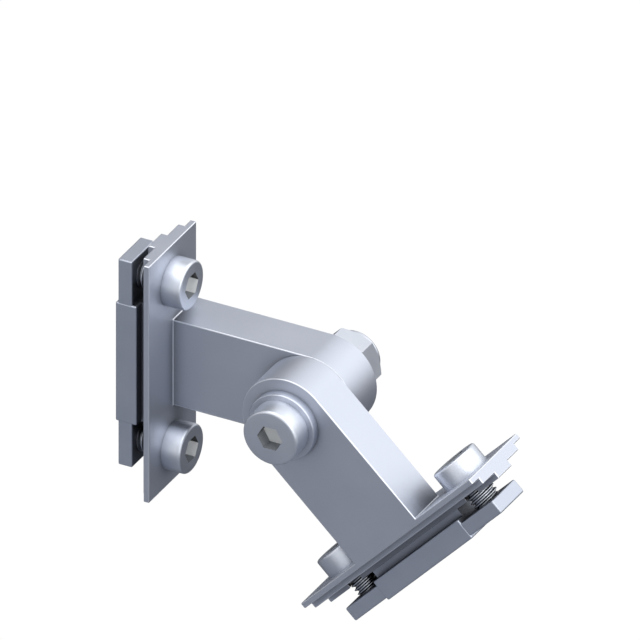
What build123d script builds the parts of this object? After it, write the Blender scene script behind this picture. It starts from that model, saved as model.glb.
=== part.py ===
from build123d import *
import os
from math import cos, radians, sin

# Clamp hinge for slotted profiles: two equal halves on one screw.
# X runs from the fixed half's seat to the pivot, Y along the pivot axis, Z up along the slot.
# The origin is the middle of the fixed half's seat, the back face of its flange.

# Fold of the moving arm below the straight line through the fixed arm, in degrees
fold_angle = 43.7

# Plate of each half: a thin flange, with two steps behind it that centre it on the slot
plate_length = 44.8
plate_width = 16.5
flange_thickness = 1.05
wide_step_width = 12.3
wide_step_depth = 1.15
slot_rib_width = 4.5
slot_rib_depth = 1.1
step_round = 0.3

# Broken edges of the casting, and the hollow round where the arm leaves the flange
rim_edge = 0.25
plate_end_edge = 0.2
root_round = 0.3

# Arm of each half: half the plate's width, with its inner face at the middle plane
arm_height = 16.2
arm_running_gap = 0.04
arm_inner_edge = 0.15
pivot_distance = 26.2

# Plate screws: low cap screws with a hexagon socket
screw_to_plate_end = 6.9
screw_diameter = 5.0
screw_length = 8.0
screw_head_diameter = 8.5
screw_head_height = 3.5
screw_socket_width = 4.0
screw_socket_depth = 2.0
screw_hole_clearance = 0.25

# Sockets are pressed round a drilled pilot, which is this part of their width
pilot_part_of_socket = 0.9
hexagon_half_angle = 30

# Nut bar of each half: a thick middle that fills the slot, and a thin tapped end at each screw
# A ridge on its middle, as wide as the plate's rib, meets the rib in the slot's mouth
nut_bar_width = 8.0
nut_bar_front_gap = 1.25
nut_ridge_gap = 0.05
nut_wall_to_end = 1.58
nut_wall_to_middle = 1.73
nut_middle_thickness = 3.9
nut_end_setback = 0.85
nut_end_thickness = 2.6
nut_bar_edge = 0.25
thread_clearance = 0.02

# Pivot screw, its two washers and its lock nut
pivot_diameter = 6.0
pivot_head_diameter = 10.0
pivot_head_height = 4.0
pivot_socket_width = 4.0
pivot_socket_depth = 2.3
pivot_bore_clearance = 0.3
pivot_thread_past_nut = 1.0
washer_diameter = 12.0
washer_thickness = 1.6
washer_bore_clearance = 0.2
washer_edge = 0.15
screw_head_edge = 0.4
screw_end_chamfer = 0.5

# Lock nut: a hexagon, and a round collar that holds a plastic ring
# One corner of the hexagon stands this many degrees below X
nut_turn = 12.6
nut_width = 10.0
nut_hexagon_height = 4.4
nut_shoulder_height = 0.5
nut_height = 6.5
nut_base_chamfer = 0.5
collar_diameter = 9.6
collar_edge = 0.45
collar_lip = 0.25
lock_ring_diameter = 8.0
lock_ring_height = 1.6
ring_fit_clearance = 0.02

# Sizes that follow from the ones above
arm_thickness = (plate_width - arm_running_gap) / 2
step_depth = wide_step_depth + slot_rib_depth
screw_spacing = plate_length - 2 * screw_to_plate_end
tapped_hole_radius = screw_diameter / 2 + thread_clearance
nut_bar_length = screw_spacing + 2 * (tapped_hole_radius + nut_wall_to_end)
nut_middle_length = screw_spacing - 2 * (tapped_hole_radius + nut_wall_to_middle)
nut_middle_front = -step_depth - nut_bar_front_gap
nut_middle_back = nut_middle_front - nut_middle_thickness
nut_end_front = nut_middle_front - nut_end_setback
nut_end_back = nut_end_front - nut_end_thickness
pivot_screw_length = plate_width + 2 * washer_thickness + nut_height + pivot_thread_past_nut
hexagon_corner = nut_width / 2 / cos(radians(hexagon_half_angle))

os.makedirs("parts", exist_ok=True)


def save(piece, label, seat):
    """Set a finished piece on its seat, name it and write it."""
    seated = seat.location * piece
    seated.label = label
    export_step(seated, f"parts/{label}.step")


# Each piece is modelled on its own seat. On a half, x runs along the slot, y across the plate with
# the arm on its negative side, and z out of the plate towards the pivot.


def make_bracket(label, seat):
    """One cast half: the stepped plate and the arm with its round eye, in one piece."""
    with BuildPart() as bracket:
        # The plate's stepped cross-section along the slot
        with BuildSketch(Plane.YZ.offset(-plate_length / 2)):
            with Locations((0, flange_thickness / 2)):
                Rectangle(plate_width, flange_thickness)
            with Locations((0, (flange_thickness / 2 - wide_step_depth) / 2)):
                RectangleRounded(wide_step_width, flange_thickness / 2 + wide_step_depth, step_round)
            with Locations((0, -step_depth / 2)):
                RectangleRounded(slot_rib_width, step_depth, step_round)
        extrude(amount=plate_length)

        # The arm starts inside the flange, flush with its side, and ends in a full round eye
        with BuildSketch(Plane.XZ.offset(arm_running_gap / 2)):
            with BuildLine():
                Polyline(
                    (-arm_height / 2, pivot_distance),
                    (-arm_height / 2, flange_thickness / 2),
                    (arm_height / 2, flange_thickness / 2),
                    (arm_height / 2, pivot_distance),
                )
                ThreePointArc(
                    (arm_height / 2, pivot_distance),
                    (0, pivot_distance + arm_height / 2),
                    (-arm_height / 2, pivot_distance),
                )
            make_face()
        extrude(amount=arm_thickness)

        # The hollow round at the arm's root, on its inner, upper and lower sides
        near, far = flange_thickness - root_round, flange_thickness + root_round
        root_edges = bracket.edges().filter_by_position(Axis.Z, near, far)
        root_edges = root_edges.filter_by_position(Axis.Y, -plate_width / 2, 0)
        arm_reach = arm_height / 2 + root_round
        fillet(root_edges.filter_by_position(Axis.X, -arm_reach, arm_reach), radius=root_round)

        # The rim of the arm and flange in one run, and the flange's two edges on its other side
        side_faces = bracket.faces().filter_by(Axis.Y).sort_by(Axis.Y)
        outer_rim = side_faces[0].edges().sort_by(Axis.X)[1:-1]
        flange_edges = side_faces[-1].edges().sort_by(Axis.X)[1:-1]
        chamfer(outer_rim + flange_edges, length=rim_edge)

        # The finer edges: the arm's inner face, and the plate's ends
        inner_face = bracket.faces().filter_by(Axis.Y).filter_by_position(Axis.Y, -arm_running_gap, 0)
        chamfer(inner_face.edges().sort_by(Axis.Z)[1:], length=arm_inner_edge)
        end_faces = bracket.faces().sort_by(Axis.X)
        chamfer(end_faces[0].edges() + end_faces[-1].edges(), length=plate_end_edge)

        # The pivot bore through the eye
        with BuildSketch(Plane.XZ):
            with Locations((0, pivot_distance)):
                Circle(pivot_diameter / 2 + pivot_bore_clearance)
        extrude(amount=plate_width, both=True, mode=Mode.SUBTRACT)

        # Two screw holes through the flange and both steps
        with BuildSketch(Plane.XY.offset(-step_depth)):
            with GridLocations(screw_spacing, 0, 2, 1):
                Circle(screw_diameter / 2 + screw_hole_clearance)
        extrude(amount=step_depth + flange_thickness, mode=Mode.SUBTRACT)
    save(bracket.part, label, seat)


def make_nut_bar(label, seat):
    """A steel bar that hangs in the slot, thick and ridged between its two tapped ends."""
    with BuildPart() as nut_bar:
        with BuildSketch(Plane.XZ):
            with BuildLine():
                Polyline(
                    (-nut_bar_length / 2, nut_end_front),
                    (-nut_middle_length / 2, nut_end_front),
                    (-nut_middle_length / 2, nut_middle_front),
                    (nut_middle_length / 2, nut_middle_front),
                    (nut_middle_length / 2, nut_end_front),
                    (nut_bar_length / 2, nut_end_front),
                    (nut_bar_length / 2, nut_end_back),
                    (nut_middle_length / 2, nut_end_back),
                    (nut_middle_length / 2, nut_middle_back),
                    (-nut_middle_length / 2, nut_middle_back),
                    (-nut_middle_length / 2, nut_end_back),
                    (-nut_bar_length / 2, nut_end_back),
                    close=True,
                )
            make_face()
        extrude(amount=nut_bar_width / 2, both=True)
        end_faces = nut_bar.faces().sort_by(Axis.X)
        chamfer(end_faces[0].edges() + end_faces[-1].edges(), length=nut_bar_edge)

        # The ridge along the thick middle
        with BuildSketch(Plane.XY.offset(nut_middle_front)):
            Rectangle(nut_middle_length, slot_rib_width)
        extrude(amount=nut_bar_front_gap - nut_ridge_gap)

        # One tapped hole in each thin end
        with BuildSketch(Plane.XY.offset(nut_end_back)):
            with GridLocations(screw_spacing, 0, 2, 1):
                Circle(tapped_hole_radius)
        extrude(amount=nut_end_thickness, mode=Mode.SUBTRACT)
    save(nut_bar.part, label, seat)


def make_cap_screw(label, seat, diameter, length, head_diameter, head_height, socket_width, socket_depth):
    """A turned low cap screw: its head stands on the seat plane, and its shank runs below it."""
    head_radius = head_diameter / 2
    shank_radius = diameter / 2
    pilot_radius = pilot_part_of_socket * socket_width / 2
    socket_floor = head_height - socket_depth
    with BuildPart() as screw:
        with BuildSketch(Plane.XZ):
            with BuildLine():
                Polyline(
                    (head_radius - screw_head_edge, head_height),
                    (head_radius, head_height - screw_head_edge),
                    (head_radius, 0),
                    (shank_radius, 0),
                    (shank_radius, screw_end_chamfer - length),
                    (shank_radius - screw_end_chamfer, -length),
                    (0, -length),
                    (0, socket_floor - pilot_radius / 2),
                    (pilot_radius, socket_floor),
                    (pilot_radius, head_height),
                    close=True,
                )
            make_face()
        revolve(axis=Axis.Z)

        # The hexagon socket round the pilot, with two corners on y
        with BuildSketch(Plane.XY.offset(head_height)):
            RegularPolygon(socket_width / 2, 6, major_radius=False, rotation=hexagon_half_angle)
        extrude(amount=-socket_depth, mode=Mode.SUBTRACT)
    save(screw.part, label, seat)


def make_washer(label, seat):
    """A flat stamped washer that stands on the seat plane."""
    with BuildPart() as washer:
        with BuildSketch():
            Circle(washer_diameter / 2)
            Circle(pivot_diameter / 2 + washer_bore_clearance, mode=Mode.SUBTRACT)
        extrude(amount=washer_thickness)
        outer_rims = washer.edges().filter_by(GeomType.CIRCLE).sort_by(SortBy.RADIUS)[-2:]
        chamfer(outer_rims, length=washer_edge)
    save(washer.part, label, seat)


def make_lock_nut(label, seat):
    """A hexagon nut with chamfered corners, drawn up into a collar that is rolled over its ring."""
    collar_radius = collar_diameter / 2
    ring_radius = lock_ring_diameter / 2 + ring_fit_clearance
    ring_top = nut_height - collar_lip
    with BuildPart() as lock_nut:
        with BuildSketch():
            RegularPolygon(nut_width / 2, 6, major_radius=False, rotation=nut_turn)
        extrude(amount=nut_height)

        # The turned outline cuts the corners to chamfers and the upper end to the collar
        with BuildSketch(Plane.XZ):
            with BuildLine():
                Polyline(
                    (0, 0),
                    (hexagon_corner - nut_base_chamfer, 0),
                    (hexagon_corner, nut_base_chamfer / 2),
                    (hexagon_corner, nut_hexagon_height),
                    (collar_radius, nut_hexagon_height + nut_shoulder_height),
                    (collar_radius, nut_height - collar_edge),
                    (collar_radius - collar_edge, nut_height),
                    (0, nut_height),
                    close=True,
                )
            make_face()
        revolve(axis=Axis.Z, mode=Mode.INTERSECT)

        # The tapped bore, the groove for the ring and the opening in the rolled lip
        with BuildSketch():
            Circle(pivot_diameter / 2 + thread_clearance)
        extrude(amount=nut_height, mode=Mode.SUBTRACT)
        with BuildSketch(Plane.XY.offset(ring_top)):
            Circle(ring_radius)
        extrude(amount=-lock_ring_height, mode=Mode.SUBTRACT)
        with BuildSketch(Plane.XY.offset(ring_top)):
            Circle(ring_radius - collar_lip)
        extrude(amount=collar_lip, mode=Mode.SUBTRACT)
    save(lock_nut.part, label, seat)


def make_lock_ring(label, seat):
    """The plastic ring that grips the thread, held in the nut's collar."""
    with BuildPart() as lock_ring:
        with BuildSketch(Plane.XY.offset(nut_height - collar_lip - lock_ring_height)):
            Circle(lock_ring_diameter / 2)
            Circle(pivot_diameter / 2 + thread_clearance, mode=Mode.SUBTRACT)
        extrude(amount=lock_ring_height)
    save(lock_ring.part, label, seat)


# Seats of the two halves, which face each other across the pivot
pivot = Vector(pivot_distance, 0, 0)
moving_arm = Vector(cos(radians(fold_angle)), 0, -sin(radians(fold_angle)))
moving_slot = Vector(sin(radians(fold_angle)), 0, cos(radians(fold_angle)))
fixed_seat = Plane(origin=(0, 0, 0), x_dir=(0, 0, 1), z_dir=(1, 0, 0))
moving_seat = Plane(origin=pivot + moving_arm * pivot_distance, x_dir=moving_slot, z_dir=moving_arm * -1)

# Seats of the pivot's hardware on the arms' outer faces, in the order in which it is put on
head_washer_seat = Plane(origin=pivot - Vector(0, plate_width / 2, 0), x_dir=(0, 0, 1), z_dir=(0, -1, 0))
nut_washer_seat = Plane(origin=pivot + Vector(0, plate_width / 2, 0), x_dir=(1, 0, 0), z_dir=(0, 1, 0))
pivot_head_seat = head_washer_seat.offset(washer_thickness)
lock_nut_seat = nut_washer_seat.offset(washer_thickness)

for half, seat in (("fixed", fixed_seat), ("moving", moving_seat)):
    make_bracket(f"{half}_bracket", seat)
    make_nut_bar(f"{half}_nut_bar", seat)
    for place, side_sign in (("upper", 1), ("lower", -1)):
        head_place = seat.from_local_coords((side_sign * screw_spacing / 2, 0, flange_thickness))
        make_cap_screw(
            f"{half}_screw_{place}",
            Plane(origin=head_place, x_dir=seat.x_dir, z_dir=seat.z_dir),
            screw_diameter,
            screw_length,
            screw_head_diameter,
            screw_head_height,
            screw_socket_width,
            screw_socket_depth,
        )

make_cap_screw(
    "pivot_screw",
    pivot_head_seat,
    pivot_diameter,
    pivot_screw_length,
    pivot_head_diameter,
    pivot_head_height,
    pivot_socket_width,
    pivot_socket_depth,
)
make_washer("head_washer", head_washer_seat)
make_washer("nut_washer", nut_washer_seat)
make_lock_nut("lock_nut", lock_nut_seat)
make_lock_ring("lock_ring", lock_nut_seat)
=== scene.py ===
import math

import bmesh
import bpy
from mathutils import Matrix, Vector


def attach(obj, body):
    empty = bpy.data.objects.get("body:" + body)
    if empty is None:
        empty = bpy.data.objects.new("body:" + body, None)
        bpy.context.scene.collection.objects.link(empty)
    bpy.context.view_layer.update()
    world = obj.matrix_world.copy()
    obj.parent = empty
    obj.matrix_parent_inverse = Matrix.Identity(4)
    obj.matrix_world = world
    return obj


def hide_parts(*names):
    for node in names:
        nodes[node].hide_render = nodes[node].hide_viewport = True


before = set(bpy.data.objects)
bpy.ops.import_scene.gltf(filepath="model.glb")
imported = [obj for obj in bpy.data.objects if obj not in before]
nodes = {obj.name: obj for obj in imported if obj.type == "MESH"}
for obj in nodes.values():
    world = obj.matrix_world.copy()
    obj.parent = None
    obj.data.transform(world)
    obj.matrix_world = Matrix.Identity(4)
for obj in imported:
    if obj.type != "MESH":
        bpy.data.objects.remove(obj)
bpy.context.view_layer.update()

# Camera. The photograph is a parallel view from the right of the hinge's front and above it,
# at one scale over the whole picture, so an orthographic camera stands on that line of sight.
MM = 0.001
PICTURE_WIDTH, PIXELS_PER_MM, CAMERA_DISTANCE = 640, 6.154, 0.6
towards_camera = Vector((0.4006, -0.7566, 0.5168)).normalized()
picture_up = Vector((-0.2418, 0.4567, 0.8561)).normalized()
picture_right = picture_up.cross(towards_camera)
picture_centre = Vector((0.02457, 0.00671, 0.01109))
camera_data = bpy.data.cameras.new("camera")
camera_data.type = "ORTHO"
camera_data.ortho_scale = PICTURE_WIDTH / PIXELS_PER_MM * MM
camera_data.clip_start = 0.01
camera_data.clip_end = 5.0
camera = bpy.data.objects.new("camera", camera_data)
bpy.context.scene.collection.objects.link(camera)
camera_turn = Matrix((picture_right, picture_up, towards_camera)).transposed().to_4x4()
camera_place = Matrix.Translation(picture_centre + CAMERA_DISTANCE * towards_camera)
camera.matrix_world = camera_place @ camera_turn
bpy.context.scene.camera = camera
bpy.context.scene.view_settings.view_transform = "Standard"

# Brackets. Each half is one aluminium casting: a stepped plate and an arm with a round eye. They
# come off the tumbler with rounded edges and a satin skin. Sizes are in millimetres at a seat, with
# x along the slot, y across the plate and z out of it; the moving half is folded below straight.
FOLD = math.radians(43.7)
PIVOT_DISTANCE = 26.2
PLATE_LENGTH, PLATE_WIDTH, FLANGE = 44.8, 16.5, 1.05
WIDE_STEP, WIDE_STEP_DEPTH = 12.3, 1.15
RIB, RIB_DEPTH = 4.5, 1.1
ARM_HEIGHT, RUNNING_GAP = 16.2, 0.04
BORE_RADIUS, SCREW_HOLE_RADIUS, SCREW_SPACING = 3.3, 2.75, 31.0
STEP_DEPTH = WIDE_STEP_DEPTH + RIB_DEPTH
OUTER_ROUND, HOLE_ROUND, RIB_ROUND = 0.1875, 0.1, 0.0375
MEETING_FACE_ROUND, MEETING_EYE_ROUND = 0.25, 0.075
EYE_STEPS = 48
CUT_THROUGH, NEAR, SHARP_ANGLE = 10.0, 0.01, math.radians(30)
# Painted shade: within this distance of a crevice, a surface is painted darker the more closed the
# space round it is, down to a near black.
CREVICE_MM, FULL_SHADE_OPENNESS, LEAST_LIT_SHARE, STAIN_ROUGHNESS = 5.0, 0.1, 0.08, 0.03


def seat_matrix(origin, along, outward):
    """Places a mesh made in millimetres at a seat of the hinge."""
    axes = Matrix((along, outward.cross(along), outward)).transposed().to_4x4()
    return Matrix.Translation(origin) @ axes @ Matrix.Scale(MM, 4)


pivot = Vector((PIVOT_DISTANCE * MM, 0, 0))
moving_arm = Vector((math.cos(FOLD), 0, -math.sin(FOLD)))
seats = {
    "fixed": seat_matrix(Vector((0, 0, 0)), Vector((0, 0, 1)), Vector((1, 0, 0))),
    "moving": seat_matrix(
        pivot + PIVOT_DISTANCE * MM * moving_arm,
        Vector((math.sin(FOLD), 0, math.cos(FOLD))),
        -moving_arm,
    ),
}


def linear_colour(hex_code):
    """The linear colour of an sRGB hex value."""
    channels = [int(hex_code[i : i + 2], 16) / 255 for i in (1, 3, 5)]
    return [c / 12.92 if c <= 0.04045 else ((c + 0.055) / 1.055) ** 2.4 for c in channels] + [1.0]


def add_node(tree, kind, settings=None, **inputs):
    """Adds a node, sets its properties, and sets or links its inputs by name."""
    node = tree.nodes.new(kind)
    for name, value in (settings or {}).items():
        setattr(node, name, value)
    for name, value in inputs.items():
        socket = node.inputs[name.replace("_", " ")]
        if isinstance(value, bpy.types.NodeSocket):
            tree.links.new(value, socket)
        else:
            socket.default_value = value
    return node


def new_material(name):
    """An empty node material with its output."""
    material = bpy.data.materials.new(name)
    material.use_nodes = True
    material.node_tree.nodes.clear()
    return material, material.node_tree


def satin_metal(
    name, colour, dark_colour, *, roughness, grain_mm, grain_depth_mm, stain_mm, unshaded_openness=0.62
):
    """A satin metal with a fine grain and faint clouds of stain, and painted shade in its crevices.

    The real grain, of some 0.05 mm, is too fine to show, so it is drawn coarser. The painted shade
    is left off where at least the given share of the space round a surface is open.
    """
    material, tree = new_material(name)
    place = add_node(tree, "ShaderNodeTexCoord").outputs["Object"]
    grains, stains = 1 / (grain_mm * MM), 1 / (stain_mm * MM)
    grain = add_node(tree, "ShaderNodeTexNoise", Vector=place, Scale=grains, Detail=3.0)
    cloud = add_node(tree, "ShaderNodeTexNoise", Vector=place, Scale=stains, Detail=4.0)
    tint = add_node(tree, "ShaderNodeMix", {"data_type": "RGBA"}, Factor=cloud.outputs["Fac"])
    tint.inputs["A"].default_value = linear_colour(dark_colour)
    tint.inputs["B"].default_value = linear_colour(colour)
    open_space = add_node(
        tree, "ShaderNodeAmbientOcclusion", {"samples": 12}, Distance=CREVICE_MM * MM
    )
    lit_share = add_node(
        tree,
        "ShaderNodeMapRange",
        {"interpolation_type": "SMOOTHSTEP"},
        Value=open_space.outputs["AO"],
        From_Min=FULL_SHADE_OPENNESS,
        From_Max=unshaded_openness,
        To_Min=LEAST_LIT_SHARE,
    )
    # Painted shade: where little space round the surface is open, its colour is mixed towards near
    # black.
    painted_shade = add_node(
        tree, "ShaderNodeMix", {"data_type": "RGBA"}, Factor=lit_share.outputs["Result"]
    )
    painted_shade.inputs["A"].default_value = linear_colour("#17181c")
    tree.links.new(tint.outputs["Result"], painted_shade.inputs["B"])
    rough = add_node(
        tree,
        "ShaderNodeMapRange",
        Value=cloud.outputs["Fac"],
        To_Min=roughness - STAIN_ROUGHNESS,
        To_Max=roughness + STAIN_ROUGHNESS,
    )
    bump = add_node(
        tree,
        "ShaderNodeBump",
        Height=grain.outputs["Fac"],
        Distance=grain_depth_mm * MM,
        Strength=1.0,
    )
    shader = add_node(
        tree,
        "ShaderNodeBsdfPrincipled",
        Base_Color=painted_shade.outputs["Result"],
        Metallic=1.0,
        Roughness=rough.outputs["Result"],
        Normal=bump.outputs["Normal"],
    )
    add_node(tree, "ShaderNodeOutputMaterial", Surface=shader.outputs["BSDF"])
    return material


def bmesh_object(name, bm):
    """Makes an object of a finished bmesh and frees it."""
    mesh = bpy.data.meshes.new(name)
    bm.to_mesh(mesh)
    bm.free()
    thing = bpy.data.objects.new(name, mesh)
    bpy.context.scene.collection.objects.link(thing)
    return thing


def pull_face(bm, face, move):
    """Pulls a face out into a closed solid."""
    made = bmesh.ops.extrude_face_region(bm, geom=[face], use_keep_orig=True)["geom"]
    fresh = [item for item in made if isinstance(item, bmesh.types.BMVert)]
    bmesh.ops.translate(bm, verts=fresh, vec=move)
    bmesh.ops.recalc_face_normals(bm, faces=bm.faces)


def combine(base, tool, operation):
    """Joins a tool solid to a base solid, or cuts it out of it, and removes the tool."""
    modifier = base.modifiers.new(operation, "BOOLEAN")
    modifier.operation = operation
    modifier.solver = "EXACT"
    modifier.object = tool
    depsgraph = bpy.context.evaluated_depsgraph_get()
    mesh = bpy.data.meshes.new_from_object(base.evaluated_get(depsgraph))
    base.modifiers.clear()
    base.data = mesh
    bpy.data.objects.remove(tool)


def prism(name, place, radius, length, segments):
    """A round or regular solid about its own z axis, such as a tool to cut a hole with."""
    bm = bmesh.new()
    bmesh.ops.create_cone(
        bm,
        cap_ends=True,
        segments=segments,
        radius1=radius,
        radius2=radius,
        depth=length,
        matrix=place,
    )
    return bmesh_object(name, bm)


def shade_smooth(thing, crease=None):
    """Shades a piece smooth, apart from its creases over an angle in degrees."""
    thing.data.polygons.foreach_set("use_smooth", [True] * len(thing.data.polygons))
    if crease is not None:
        thing.data.set_sharp_from_angle(angle=math.radians(crease))


def bracket_casting(half):
    """The casting of one half: plate and arm joined, bored, and its edges rounded."""
    bm = bmesh.new()
    section = [
        (PLATE_WIDTH / 2, FLANGE),
        (PLATE_WIDTH / 2, 0),
        (WIDE_STEP / 2, 0),
        (WIDE_STEP / 2, -WIDE_STEP_DEPTH),
        (RIB / 2, -WIDE_STEP_DEPTH),
        (RIB / 2, -STEP_DEPTH),
    ]
    section += [(-y, z) for y, z in reversed(section)]
    corners = [bm.verts.new((-PLATE_LENGTH / 2, y, z)) for y, z in section]
    pull_face(bm, bm.faces.new(corners), (PLATE_LENGTH, 0, 0))
    casting = bmesh_object(f"{half}_bracket_casting", bm)

    bm = bmesh.new()
    foot = bm.verts.new((ARM_HEIGHT / 2, -PLATE_WIDTH / 2, FLANGE / 2))
    shoulder = bmesh.ops.extrude_vert_indiv(bm, verts=[foot])["verts"]
    bmesh.ops.translate(bm, verts=shoulder, vec=(0, 0, PIVOT_DISTANCE - FLANGE / 2))
    eye = bmesh.ops.spin(
        bm,
        geom=shoulder,
        cent=(0, -PLATE_WIDTH / 2, PIVOT_DISTANCE),
        axis=(0, -1, 0),
        angle=math.pi,
        steps=EYE_STEPS,
    )["geom_last"]
    last = [item for item in eye if isinstance(item, bmesh.types.BMVert)]
    other_foot = bmesh.ops.extrude_vert_indiv(bm, verts=last)["verts"]
    bmesh.ops.translate(bm, verts=other_foot, vec=(0, 0, FLANGE / 2 - PIVOT_DISTANCE))
    bmesh.ops.contextual_create(bm, geom=bm.edges)
    bm.faces.ensure_lookup_table()
    pull_face(bm, bm.faces[0], (0, (PLATE_WIDTH - RUNNING_GAP) / 2, 0))
    combine(casting, bmesh_object("arm", bm), "UNION")

    bore = Matrix.Translation((0, 0, PIVOT_DISTANCE)) @ Matrix.Rotation(math.pi / 2, 4, "X")
    bore_tool = prism("bore", bore, BORE_RADIUS, 2 * PLATE_WIDTH, EYE_STEPS)
    combine(casting, bore_tool, "DIFFERENCE")
    for side in (-1, 1):
        place = Matrix.Translation((side * SCREW_SPACING / 2, 0, 0))
        hole_tool = prism("hole", place, SCREW_HOLE_RADIUS, CUT_THROUGH, EYE_STEPS)
        combine(casting, hole_tool, "DIFFERENCE")

    # Each edge has its own round, set as a share of the largest: the faces that meet have that one
    # along the arms, and the rib's back edges are nearly sharp.
    bm = bmesh.new()
    bm.from_mesh(casting.data)
    bmesh.ops.dissolve_limit(bm, angle_limit=math.radians(0.5), verts=bm.verts, edges=bm.edges)
    weight = bm.edges.layers.float.new("bevel_weight_edge")
    for edge in bm.edges:
        if edge.calc_face_angle(0) < SHARP_ANGLE:
            continue
        middle = (edge.verts[0].co + edge.verts[1].co) / 2
        from_bore = math.hypot(middle.x, middle.z - PIVOT_DISTANCE) - BORE_RADIUS
        from_hole = math.hypot(abs(middle.x) - SCREW_SPACING / 2, middle.y) - SCREW_HOLE_RADIUS
        radius = OUTER_ROUND
        if abs(middle.y + RUNNING_GAP / 2) < NEAR and middle.z > FLANGE + NEAR:
            radius = MEETING_FACE_ROUND if middle.z < PIVOT_DISTANCE else MEETING_EYE_ROUND
        if min(abs(from_bore), abs(from_hole)) < 5 * NEAR:
            radius = HOLE_ROUND
        if middle.z < NEAR - STEP_DEPTH and abs(abs(middle.y) - RIB / 2) < NEAR:
            radius = RIB_ROUND
        edge[weight] = radius / MEETING_FACE_ROUND
    bm.to_mesh(casting.data)
    bm.free()
    casting.data.transform(seats[half])
    shade_smooth(casting)
    rounding = casting.modifiers.new("rounded edges", "BEVEL")
    rounding.limit_method = "WEIGHT"
    rounding.width = MEETING_FACE_ROUND * MM
    rounding.segments = 4
    # The rounds take the second material, whose paler colour is a painted highlight.
    rounding.material = 1
    rounding.use_clamp_overlap = False
    rounding.harden_normals = True
    return casting


# Die-cast aluminium, tumbled with stones: an even, bluish satin grey with no sharp highlight. The
# stones leave the rounded edges smoother, and a paler colour on them is a painted highlight that
# shows them as thin pale lines.
cast_aluminium = satin_metal(
    "tumbled cast aluminium",
    "#c3c8d4",
    "#bbc1ce",
    roughness=0.50,
    grain_mm=0.25,
    grain_depth_mm=0.003,
    stain_mm=9.0,
    unshaded_openness=0.85,
)
painted_highlight_edges = satin_metal(
    "aluminium edges with painted highlight",
    "#dfe3ec",
    "#d6dbe5",
    roughness=0.38,
    grain_mm=0.25,
    grain_depth_mm=0.001,
    stain_mm=9.0,
)
for half in seats:
    casting = bracket_casting(half)
    casting.data.materials.append(cast_aluminium)
    casting.data.materials.append(painted_highlight_edges)
    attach(casting, f"{half}_half")
    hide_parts(f"{half}_bracket")

# Plate screws. Each half is clamped to its profile by two low cap screws of zinc plated steel, M5,
# which are cold headed: a round rim, and a pressed hexagon socket over its drilled pilot.
HEAD_STEPS = 72
PILOT_PART_OF_SOCKET = 0.9
SCREW_END_CHAMFER = 0.5
THREAD_DEPTH, THREAD_RISE, THREAD_CREST, THREAD_FALL = 0.61, 0.2, 0.5, 0.65
RUN_OUT = 0.1
# Materials for a socket's painted light and shade, after the zinc: deep shade, half shade and
# light.
DEEP_SHADE_TONE, HALF_SHADE_TONE, PAINTED_LIGHT_TONE = 1, 2, 3
# A socket's walls are counted round its axis from 0 to 5, from the screw's own x
HALF_SHADED_WALLS, PAINTED_LIGHT_WALL = (2, 3), 4


def grow_loop(bm, loop, radius=None, rise=0.0):
    """Pulls a loop of edges along z, or out to a circle round z, and returns its far loop."""
    made = bmesh.ops.extrude_edge_only(bm, edges=loop)["geom"]
    for vert in [item for item in made if isinstance(item, bmesh.types.BMVert)]:
        if radius is not None:
            vert.co.xy = vert.co.xy.normalized() * radius
        vert.co.z += rise
    return [item for item in made if isinstance(item, bmesh.types.BMEdge)]


def hexagon_loop(bm, width, height):
    """A hexagon round z with corners on y, its sides divided to meet a circle's steps."""
    place = Matrix.Translation((0, 0, height))
    corner_radius = width / 2 / math.cos(math.radians(30))
    verts = bmesh.ops.create_circle(bm, segments=6, radius=corner_radius, matrix=place)["verts"]
    edges = list({edge for vert in verts for edge in vert.link_edges})
    divided = bmesh.ops.subdivide_edges(bm, edges=edges, cuts=HEAD_STEPS // 6 - 1)["geom_split"]
    return [item for item in divided if isinstance(item, bmesh.types.BMEdge)]


def rolled_thread(top, bottom, radius, pitch):
    """The mesh of a rolled thread between two heights, with a chamfered end."""
    root = radius - THREAD_DEPTH * pitch
    profile, z = [], top + pitch
    while z > bottom - 2 * pitch:
        profile += [
            (root, z),
            (root, z - THREAD_RISE * pitch),
            (radius, z - THREAD_CREST * pitch),
            (radius, z - THREAD_FALL * pitch),
        ]
        z -= pitch
    helix = bmesh.new()
    verts = [helix.verts.new((r, 0, h)) for r, h in profile]
    edges = [helix.edges.new(pair) for pair in zip(verts, verts[1:])]
    bmesh.ops.spin(
        helix,
        geom=verts + edges,
        cent=(0, 0, 0),
        axis=(0, 0, 1),
        dvec=(0, 0, pitch / HEAD_STEPS),
        angle=math.tau,
        steps=HEAD_STEPS,
    )
    bmesh.ops.remove_doubles(helix, verts=helix.verts, dist=NEAR / 10)
    for height, normal in ((top, (0, 0, 1)), (bottom, (0, 0, -1))):
        bmesh.ops.bisect_plane(
            helix,
            geom=helix.verts[:] + helix.edges[:] + helix.faces[:],
            dist=NEAR / 100,
            plane_co=(0, 0, height),
            plane_no=normal,
            clear_outer=True,
        )
    for vert in helix.verts:
        allowed = radius - SCREW_END_CHAMFER + max(0.0, vert.co.z - bottom)
        if vert.co.xy.length > allowed:
            vert.co.xy = vert.co.xy.normalized() * allowed
    mesh = bpy.data.meshes.new("thread")
    helix.to_mesh(mesh)
    helix.free()
    return mesh


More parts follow.
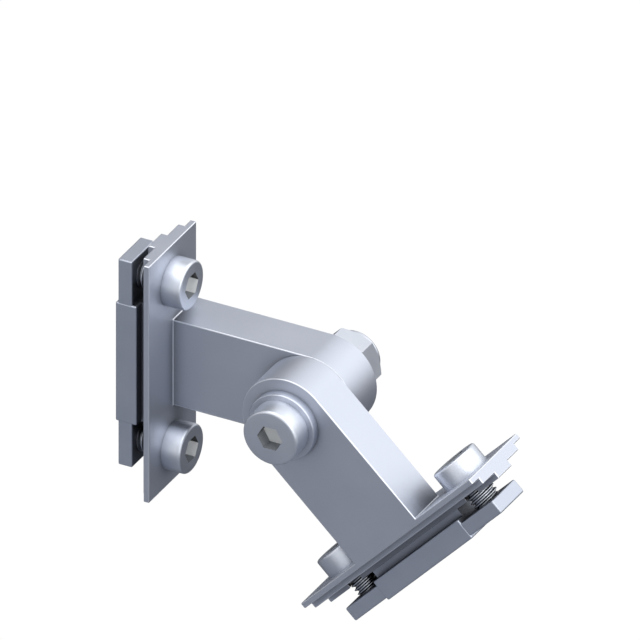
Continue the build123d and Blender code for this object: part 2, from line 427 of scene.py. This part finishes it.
def cap_screw(name, place, diameter, length, neck, pitch, head, socket):
    """A cap screw whose head stands on its place; its socket takes the materials after the first.

    The head is given as diameter, height and round of its rim, the socket as width and depth.
    """
    head_diameter, head_height, head_round = head
    socket_width, socket_depth = socket
    bm = bmesh.new()
    mouth = hexagon_loop(bm, socket_width, head_height)
    rim = grow_loop(bm, mouth, radius=head_diameter / 2)
    under_head = grow_loop(bm, rim, rise=-head_height)
    neck_top = grow_loop(bm, under_head, radius=diameter / 2)
    grow_loop(bm, neck_top, rise=RUN_OUT * pitch - neck)
    socket_floor = grow_loop(bm, mouth, rise=-socket_depth)
    pilot_radius = PILOT_PART_OF_SOCKET * socket_width / 2
    pilot = grow_loop(bm, socket_floor, radius=pilot_radius)
    pilot_face = bmesh.ops.contextual_create(bm, geom=pilot)["faces"]
    tip = bmesh.ops.poke(bm, faces=pilot_face)["verts"]
    bmesh.ops.translate(bm, verts=tip, vec=(0, 0, -pilot_radius / 2))
    socket_radius = socket_width / 2 / math.cos(math.radians(30)) + NEAR
    # Paints light and shade into the socket by the way each wall faces: the floor and one wall
    # painted light, two walls painted half shade, the others painted deep shade.
    for face in bm.faces:
        middle = face.calc_center_median()
        inside = all(vert.co.xy.length < socket_radius for vert in face.verts)
        if not inside or middle.z < 0 or abs(middle.z - head_height) < NEAR:
            continue
        wall = round(math.degrees(math.atan2(middle.y, middle.x)) / 60) % 6
        if middle.z < head_height - socket_depth + NEAR or wall == PAINTED_LIGHT_WALL:
            face.material_index = PAINTED_LIGHT_TONE
        else:
            face.material_index = HALF_SHADE_TONE if wall in HALF_SHADED_WALLS else DEEP_SHADE_TONE
    bmesh.ops.bevel(
        bm, geom=rim, affect="EDGES", offset=head_round, segments=6, profile=0.5, material=-1
    )
    thread = rolled_thread(-neck, -length, diameter / 2, pitch)
    bm.from_mesh(thread)
    bpy.data.meshes.remove(thread)
    boundary = [edge for edge in bm.edges if edge.is_boundary]
    run_out = [e for e in boundary if max(vert.co.z for vert in e.verts) > -neck - NEAR]
    bmesh.ops.bridge_loops(bm, edges=run_out)
    bmesh.ops.holes_fill(bm, edges=[e for e in bm.edges if e.is_boundary], sides=0)
    bmesh.ops.recalc_face_normals(bm, faces=bm.faces)
    screw = bmesh_object(name, bm)
    screw.data.transform(place)
    shade_smooth(screw, crease=35)
    return screw


# Bright zinc on cold headed steel: paler and smoother than the castings, with broad highlights.
zinc_plated_steel = satin_metal(
    "zinc plated steel",
    "#d3d8e2",
    "#cad0db",
    roughness=0.41,
    grain_mm=0.12,
    grain_depth_mm=0.0015,
    stain_mm=3.0,
)
# A pressed socket is too deep for the lamps, so its light and shade are painted by the way each
# wall faces: painted deep shade, black, on the upper walls; painted half shade, grey, on the lower
# ones; and painted light, pale, on one wall and the floor.
screw_materials = [zinc_plated_steel]
for name, colour in (
    ("painted deep shade", "#101114"),
    ("painted half shade", "#7c8187"),
    ("painted light", "#e6e9ec"),
):
    painted_socket_shade, tree = new_material(f"{name} in a socket")
    shader = add_node(
        tree,
        "ShaderNodeBsdfPrincipled",
        Base_Color=linear_colour(colour),
        Metallic=0.2,
        Roughness=0.5,
    )
    add_node(tree, "ShaderNodeOutputMaterial", Surface=shader.outputs["BSDF"])
    screw_materials.append(painted_socket_shade)
for half, seat in seats.items():
    for level, side in (("upper", 1), ("lower", -1)):
        screw = cap_screw(
            f"{half}_screw_{level}_threaded",
            seat @ Matrix.Translation((side * SCREW_SPACING / 2, 0, FLANGE)),
            diameter=5.0,
            length=8.0,
            neck=2.6,
            pitch=0.8,
            head=(8.5, 3.5, 0.45),
            socket=(4.0, 2.0),
        )
        for material in screw_materials:
            screw.data.materials.append(material)
        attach(screw, f"{half}_half")
        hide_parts(f"{half}_screw_{level}")

# Nut bars. Milled steel bars, thinned and tapped at both ends, with a ridge that enters the slot's
# mouth. They hang on the plate screws and are plated dull; the thick middle stands a hair proud.
BAR_WIDTH, BAR_END_WIDTH, BAR_LENGTH, BAR_MIDDLE_LENGTH = 8.0, 7.88, 39.0, 22.5
BAR_FRONT, BAR_MIDDLE, BAR_END_SETBACK, BAR_END = -STEP_DEPTH - 1.25, 3.9, 0.85, 2.6
BAR_RIDGE, RIDGE_ROOT, BROKEN_EDGE = 1.24, 1.0, 0.28
TAPPED_RADIUS = 2.52


def block(length, width, back, front, broken=0.0):
    """A milled block at a seat, centred along the slot and across it, with its edges broken."""
    bm = bmesh.new()
    size = Matrix.Diagonal((length, width, front - back, 1))
    place = Matrix.Translation((0, 0, (front + back) / 2)) @ size
    bmesh.ops.create_cube(bm, size=1.0, matrix=place)
    if broken:
        bmesh.ops.bevel(
            bm, geom=bm.edges, affect="EDGES", offset=broken, segments=5, profile=0.5, material=-1
        )
    return bmesh_object("block", bm)


# Zinc from the barrel on milled steel: duller and darker than the screws.
dull_zinc = satin_metal(
    "dull zinc plate on steel",
    "#bcc2cf",
    "#b2b9c7",
    roughness=0.48,
    grain_mm=0.2,
    grain_depth_mm=0.003,
    stain_mm=5.0,
)
end_front = BAR_FRONT - BAR_END_SETBACK
for half, seat in seats.items():
    bar = block(BAR_LENGTH, BAR_END_WIDTH, end_front - BAR_END, end_front, BROKEN_EDGE)
    middle = block(BAR_MIDDLE_LENGTH, BAR_WIDTH, BAR_FRONT - BAR_MIDDLE, BAR_FRONT, BROKEN_EDGE)
    ridge = block(BAR_MIDDLE_LENGTH, RIB, BAR_FRONT - RIDGE_ROOT, BAR_FRONT + BAR_RIDGE)
    combine(bar, middle, "UNION")
    combine(bar, ridge, "UNION")
    for side in (-1, 1):
        place = Matrix.Translation((side * SCREW_SPACING / 2, 0, end_front))
        hole_tool = prism("hole", place, TAPPED_RADIUS, CUT_THROUGH, HEAD_STEPS)
        combine(bar, hole_tool, "DIFFERENCE")
    bar.name = f"{half}_nut_bar_milled"
    bar.data.transform(seat)
    shade_smooth(bar, crease=22)
    flats = bar.modifiers.new("flat faces stay flat", "WEIGHTED_NORMAL")
    flats.weight = 100
    flats.keep_sharp = True
    bar.data.materials.clear()
    bar.data.materials.append(dull_zinc)
    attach(bar, f"{half}_half")
    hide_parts(f"{half}_nut_bar")

# Pivot. A socket head cap screw, M6, passes both eyes, with a stamped washer under its head and
# another under the lock nut, all of zinc plated steel.
WASHER_DIAMETER, WASHER_BORE, WASHER, WASHER_ROUND = 12.0, 6.4, 1.6, 0.2
up = Vector((0, 0, 1))
to_washer = Vector((0, PLATE_WIDTH / 2 * MM, 0))
past_washer = Vector((0, (PLATE_WIDTH / 2 + WASHER) * MM, 0))
pivot_screw = cap_screw(
    "pivot_screw_threaded",
    seat_matrix(pivot - past_washer, up, Vector((0, -1, 0))),
    diameter=6.0,
    length=27.2,
    neck=19.0,
    pitch=1.0,
    head=(10.0, 4.0, 0.5),
    socket=(4.0, 2.3),
)
for material in screw_materials:
    pivot_screw.data.materials.append(material)
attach(pivot_screw, "fixed_half")
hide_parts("pivot_screw")

# Zinc on stamped steel: a bright rim round a grey face.
stamped_zinc = satin_metal(
    "zinc plated washer",
    "#cfd4e0",
    "#c5cbd8",
    roughness=0.36,
    grain_mm=0.15,
    grain_depth_mm=0.002,
    stain_mm=4.0,
    unshaded_openness=0.8,
)
for name, side in (("head_washer", -1), ("nut_washer", 1)):
    bm = bmesh.new()
    hole = bmesh.ops.create_circle(bm, segments=HEAD_STEPS, radius=WASHER_BORE / 2)["verts"]
    hole_edges = list({edge for vert in hole for edge in vert.link_edges})
    grow_loop(bm, hole_edges, radius=WASHER_DIAMETER / 2)
    made = bmesh.ops.extrude_face_region(bm, geom=bm.faces[:], use_keep_orig=True)["geom"]
    fresh = [item for item in made if isinstance(item, bmesh.types.BMVert)]
    bmesh.ops.translate(bm, verts=fresh, vec=(0, 0, WASHER))
    bmesh.ops.recalc_face_normals(bm, faces=bm.faces)
    rim = []
    for edge in bm.edges:
        ends = [vert.co for vert in edge.verts]
        outside = min(end.xy.length for end in ends) > WASHER_DIAMETER / 2 - NEAR
        on_top = min(end.z for end in ends) > WASHER - NEAR
        if outside and on_top:
            rim.append(edge)
    bmesh.ops.bevel(
        bm, geom=rim, affect="EDGES", offset=WASHER_ROUND, segments=4, profile=0.5, material=-1
    )
    washer = bmesh_object(f"{name}_stamped", bm)
    washer.data.transform(seat_matrix(pivot + side * to_washer, up, Vector((0, side, 0))))
    shade_smooth(washer, crease=35)
    washer.data.materials.append(stamped_zinc)
    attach(washer, "fixed_half")
    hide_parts(name)

# Lock nut. A hexagon nut of plated steel, chamfered at both ends, whose short collar is rolled over
# a ring of white plastic, which grips the screw's thread.
NUT_WIDTH, NUT_HEIGHT, NUT_TURN, NUT_BORE_RADIUS = 10.0, 6.5, 12.6, 3.02
NUT_CORNER = NUT_WIDTH / 2 / math.cos(math.radians(30))
RING_RADIUS, RING_HEIGHT, LIP = 4.02, 1.6, 0.25

turn = Matrix.Rotation(math.radians(NUT_TURN + 30), 4, "Z")
place = Matrix.Translation((0, 0, NUT_HEIGHT / 2)) @ turn
nut = prism("lock_nut_rolled", place, NUT_CORNER, NUT_HEIGHT, 6)

# The turned outline, as radius and height: both chamfers, and the collar rolled in at its top
bm = bmesh.new()
outline = [
    (0, 0),
    (NUT_CORNER - 0.5, 0),
    (NUT_CORNER, 0.25),
    (NUT_CORNER, 4.5),
    (4.9, 5.2),
    (4.65, 5.45),
    (4.65, 5.95),
    (4.45, 6.35),
    (4.15, NUT_HEIGHT),
    (0, NUT_HEIGHT),
]
verts = [bm.verts.new((r, 0, h)) for r, h in outline]
edges = [bm.edges.new(pair) for pair in zip(verts, verts[1:])]
bmesh.ops.spin(
    bm,
    geom=verts + edges,
    cent=(0, 0, 0),
    axis=(0, 0, 1),
    angle=math.tau,
    steps=HEAD_STEPS,
    use_merge=True,
)
bmesh.ops.remove_doubles(bm, verts=bm.verts, dist=NEAR / 10)
bmesh.ops.recalc_face_normals(bm, faces=bm.faces)
combine(nut, bmesh_object("turned outline", bm), "INTERSECT")
ring_top = NUT_HEIGHT - LIP
for radius, low, high in (
    (NUT_BORE_RADIUS, -1.0, NUT_HEIGHT + 1.0),
    (RING_RADIUS, ring_top - RING_HEIGHT, ring_top),
    (RING_RADIUS - LIP, ring_top - 0.1, NUT_HEIGHT + 1.0),
):
    place = Matrix.Translation((0, 0, (low + high) / 2))
    combine(nut, prism("hole", place, radius, high - low, HEAD_STEPS), "DIFFERENCE")
nut.data.transform(seat_matrix(pivot + past_washer, Vector((1, 0, 0)), Vector((0, 1, 0))))
shade_smooth(nut, crease=25)
nut.data.materials.clear()
nut.data.materials.append(zinc_plated_steel)
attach(nut, "fixed_half")
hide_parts("lock_nut")

# Moulded polyamide: white, a little warm, and matt, so that it stands out from the zinc.
white_plastic, tree = new_material("moulded white polyamide")
shader = add_node(
    tree, "ShaderNodeBsdfPrincipled", Base_Color=linear_colour("#dcddd6"), Roughness=0.55
)
add_node(tree, "ShaderNodeOutputMaterial", Surface=shader.outputs["BSDF"])
nodes["lock_ring"].data.materials.clear()
nodes["lock_ring"].data.materials.append(white_plastic)

# Studio. The photograph is on white, under broad soft light from above and the right, with dark
# ground below and on the left.
FLOOR_LEVEL, FLOOR_SIZE, CARD_RISE = -0.062, 4.0, 0.002
WHITE_SHARE, WORLD_STRENGTH = 0.85, 0.7


def white_to_camera(tree):
    """1 for rays from the camera and from metal or glass, 0 for the light's own rays."""
    path = add_node(tree, "ShaderNodeLightPath")
    first = add_node(tree, "ShaderNodeMath", {"operation": "MAXIMUM"})
    tree.links.new(path.outputs["Is Camera Ray"], first.inputs[0])
    tree.links.new(path.outputs["Is Glossy Ray"], first.inputs[1])
    both = add_node(tree, "ShaderNodeMath", {"operation": "MAXIMUM"})
    tree.links.new(first.outputs["Value"], both.inputs[0])
    tree.links.new(path.outputs["Is Transmission Ray"], both.inputs[1])
    return both.outputs["Value"]


def stage_sheet(name, width, height, place, material):
    """A flat sheet of the studio, which is no part of the hinge."""
    bm = bmesh.new()
    bmesh.ops.create_grid(bm, x_segments=1, y_segments=1, size=0.5)
    bmesh.ops.transform(bm, matrix=place @ Matrix.Diagonal((width, height, 1, 1)), verts=bm.verts)
    sheet = bmesh_object(name, bm)
    sheet.data.materials.append(material)
    return sheet


def facing(azimuth, elevation, distance):
    """The place of a flat thing that faces the hinge from a direction, given in degrees."""
    around, above = math.radians(azimuth), math.radians(elevation)
    level = math.cos(above)
    direction = Vector((level * math.cos(around), level * math.sin(around), math.sin(above)))
    turn = direction.to_track_quat("Z", "Y").to_matrix().to_4x4()
    return Matrix.Translation(picture_centre + distance * direction) @ turn


world = bpy.data.worlds.new("studio")
bpy.context.scene.world = world
world.use_nodes = True
tree = world.node_tree
tree.nodes.clear()
strength = add_node(
    tree, "ShaderNodeMapRange", Value=white_to_camera(tree), To_Min=WORLD_STRENGTH
)
background = add_node(
    tree,
    "ShaderNodeBackground",
    Color=linear_colour("#ffffff"),
    Strength=strength.outputs["Result"],
)
add_node(tree, "ShaderNodeOutputWorld", Surface=background.outputs["Background"])

# Matt white board: its glow makes it white to the camera, and its paint keeps the hinge's shadow.
white_floor, tree = new_material("white floor")
paint = add_node(tree, "ShaderNodeBsdfDiffuse", Color=linear_colour("#f3f3f3"))
glow = add_node(tree, "ShaderNodeEmission", Color=linear_colour("#ffffff"), Strength=1.0)
share = add_node(tree, "ShaderNodeMath", {"operation": "MULTIPLY"})
tree.links.new(white_to_camera(tree), share.inputs[0])
share.inputs[1].default_value = WHITE_SHARE
mix = add_node(tree, "ShaderNodeMixShader", Fac=share.outputs["Value"])
tree.links.new(paint.outputs["BSDF"], mix.inputs[1])
tree.links.new(glow.outputs["Emission"], mix.inputs[2])
add_node(tree, "ShaderNodeOutputMaterial", Surface=mix.outputs["Shader"])
floor_place = Matrix.Translation((0, 0, FLOOR_LEVEL))
stage_sheet("floor", FLOOR_SIZE, FLOOR_SIZE, floor_place, white_floor)

# Grey cards out of the camera's sight: the metal mirrors them as its dark sides.
for name, grey, width, height, place in (
    ("front ground card", 0.34, 1.0, 0.5, Matrix.Translation((0, -0.25, FLOOR_LEVEL + CARD_RISE))),
    ("back ground card", 0.15, 1.0, 0.5, Matrix.Translation((0, 0.25, FLOOR_LEVEL + CARD_RISE))),
    ("left card", 0.12, 0.7, 0.52, facing(165, 27, 0.42)),
):
    card_grey, tree = new_material(f"{name} grey")
    glow = add_node(tree, "ShaderNodeEmission", Color=linear_colour("#ecf1fe"), Strength=grey)
    add_node(tree, "ShaderNodeOutputMaterial", Surface=glow.outputs["Emission"])
    card = stage_sheet(name, width, height, place, card_grey)
    card.visible_camera = False
    card.visible_diffuse = False
    card.visible_shadow = False

# Soft lamps, which are sheets of a given radiance, a little warm beside the bluish cards.
for name, radiance, width, height, place in (
    ("key light", 1.3, 0.35, 0.35, facing(338, 40, 0.6)),
    ("overhead soft light", 0.85, 0.8, 0.8, facing(0, 90, 0.6)),
    ("front left soft light", 1.0, 0.3, 0.3, facing(235, 48, 0.6)),
    ("right soft light", 0.8, 0.4, 0.4, facing(322, 14, 0.6)),
    ("back right soft light", 0.75, 0.5, 0.5, facing(40, 35, 0.6)),
):
    lamp_data = bpy.data.lights.new(name, "AREA")
    lamp_data.shape = "RECTANGLE"
    lamp_data.size = width
    lamp_data.size_y = height
    lamp_data.energy = 4 * width * height * radiance
    lamp_data.color = linear_colour("#fffdf8")[:3]
    lamp = bpy.data.objects.new(name, lamp_data)
    lamp.matrix_world = place
    bpy.context.scene.collection.objects.link(lamp)
